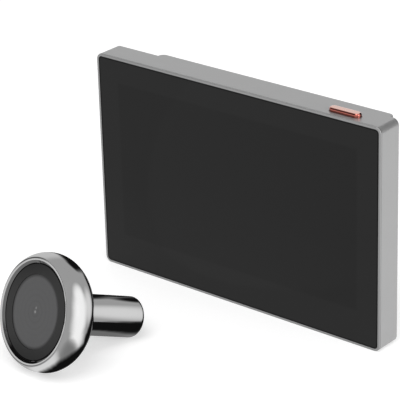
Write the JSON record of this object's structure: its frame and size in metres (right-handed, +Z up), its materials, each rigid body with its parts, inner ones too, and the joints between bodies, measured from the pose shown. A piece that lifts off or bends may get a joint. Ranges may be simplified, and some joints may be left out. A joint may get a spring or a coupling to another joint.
{
  "type": "door viewer set",
  "caption": "Indoor screen unit of a wireless door viewer, with a power button, and its chrome peephole camera lying in front.",
  "frame": {"origin": "middle of the screen unit's foot, on the surface that the set stands on", "axes": "+Z up, the glass faces -Y, +X to the right seen from the front; the camera unit lies in front of the screen's left half"},
  "size_m": [0.1126, 0.0894, 0.0762],
  "materials": {
    "satin_silver": "satin silver paint",
    "black_glass": "polished black glass",
    "copper": "satin copper",
    "chrome": "polished chrome",
    "black_plastic": "black, semi-gloss",
    "smoked_window": "smoked, semi-gloss",
    "black_rubber": "matt",
    "clear_lens": "polished",
    "black_lens_metal": "black anodised",
    "circuit_board": "green solder mask",
    "chip_black": "moulded",
    "tinned_metal": "tinned",
    "steel": "zinc plated",
    "white_plastic": "matt",
    "cell_silver": "laminated foil pouch",
    "black_tape": "foam tape",
    "flex_amber": "polyimide film",
    "display_cell": "polarised cell",
    "light_guide": "acrylic with white film"
  },
  "bodies": {
    "root": {"rear_housing": "satin_silver", "front_bezel": "satin_silver", "front_glass": "black_glass", "glass_tape": "black_tape", "display_panel": "display_cell", "backlight_tray": "tinned_metal", "light_guide": "light_guide", "display_ribbon": "flex_amber", "display_connector": "white_plastic", "main_board": "circuit_board", "board_screws": "steel", "processor_shield": "tinned_metal", "processor_chip": "chip_black", "radio_module": "tinned_metal", "memory_chip": "chip_black", "camera_socket": "white_plastic", "battery_connector": "white_plastic", "microphone": "tinned_metal", "usb_port": "steel", "card_socket": "tinned_metal", "battery_cell": "cell_silver", "battery_pad": "black_tape", "speaker": "chip_black", "wifi_antenna": "flex_amber", "power_switch": "black_plastic", "camera_head": "chrome", "camera_tube": "chrome", "door_gasket": "black_rubber", "window_ring": "black_plastic", "camera_window": "smoked_window", "window_seal": "black_rubber", "camera_board": "circuit_board", "camera_screws": "steel", "lens_holder": "black_plastic", "image_sensor": "chip_black", "camera_connector": "white_plastic", "lens_barrel": "black_lens_metal", "front_lens": "clear_lens", "rear_lens": "clear_lens", "lens_shroud": "black_rubber", "infrared_leds": "clear_lens"},
    "power_button": {"power_button": "copper", "switch_plunger": "black_plastic"}
  },
  "joints": [
    {"name": "power_press", "type": "slide", "parent": "root", "child": "power_button", "axis": [0, 0, -1], "range_m": [0, 0.0005], "stiffness_N_per_m": 2500, "springref_m": -0.0002}
  ]
}
